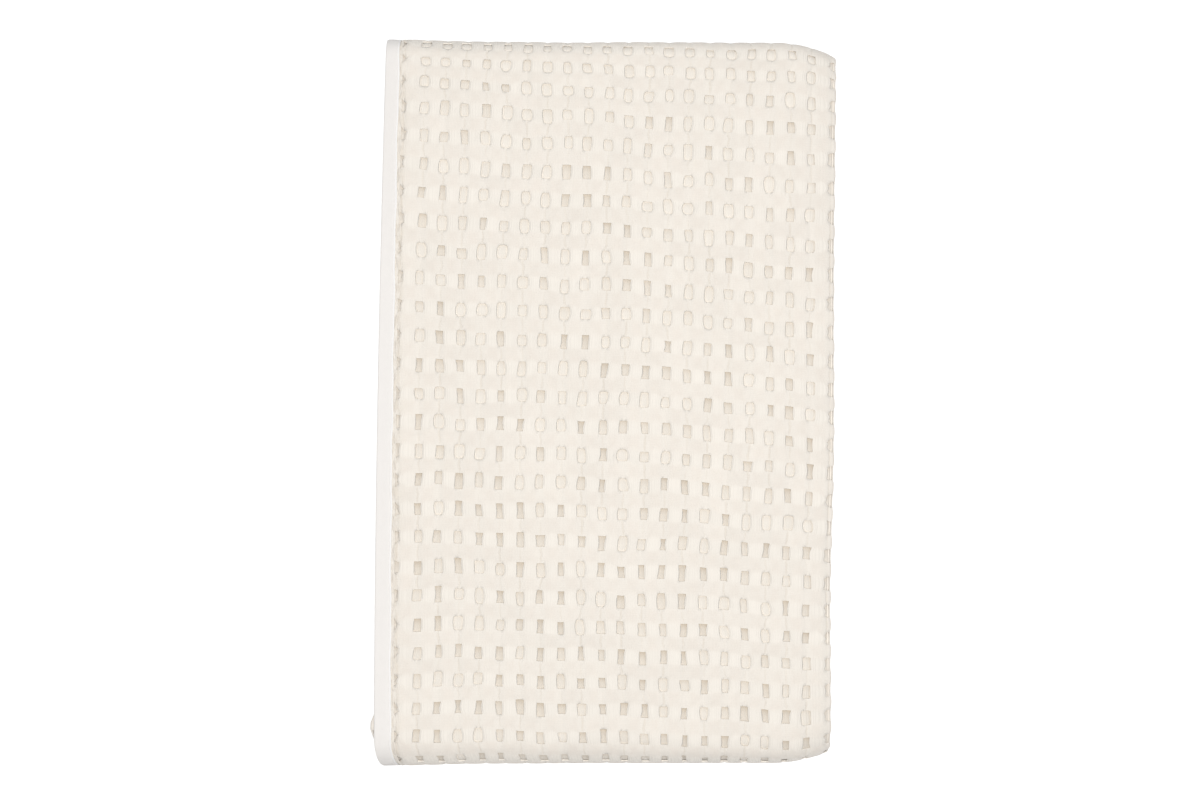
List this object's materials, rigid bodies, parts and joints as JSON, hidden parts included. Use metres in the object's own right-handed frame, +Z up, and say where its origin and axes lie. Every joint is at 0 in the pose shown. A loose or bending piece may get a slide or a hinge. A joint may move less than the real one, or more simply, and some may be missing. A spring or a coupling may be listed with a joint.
{
  "type": "folded bedspread",
  "caption": "Ivory bedspread of open waffle weave with a flat white edge binding, folded into a neat rectangular stack.",
  "frame": {"origin": "middle of the underside of the folded bedspread, where it rests", "axes": "+Z up out of the top of the stack, +X across it from the bound edge to the folded edge, +Y along it from the thick near fold to the thin far fold"},
  "size_m": [0.4116, 0.6478, 0.0619],
  "materials": {
    "ivory_waffle": "matt open waffle weave of soft cotton, ivory",
    "white_tape": "smooth plain-woven cotton tape, cool white, edge-stitched"
  },
  "bodies": {
    "root": {"bedspread_cloth": "ivory_waffle", "outer_hem_binding": "white_tape", "inner_hem_binding": "white_tape"}
  },
  "joints": []
}
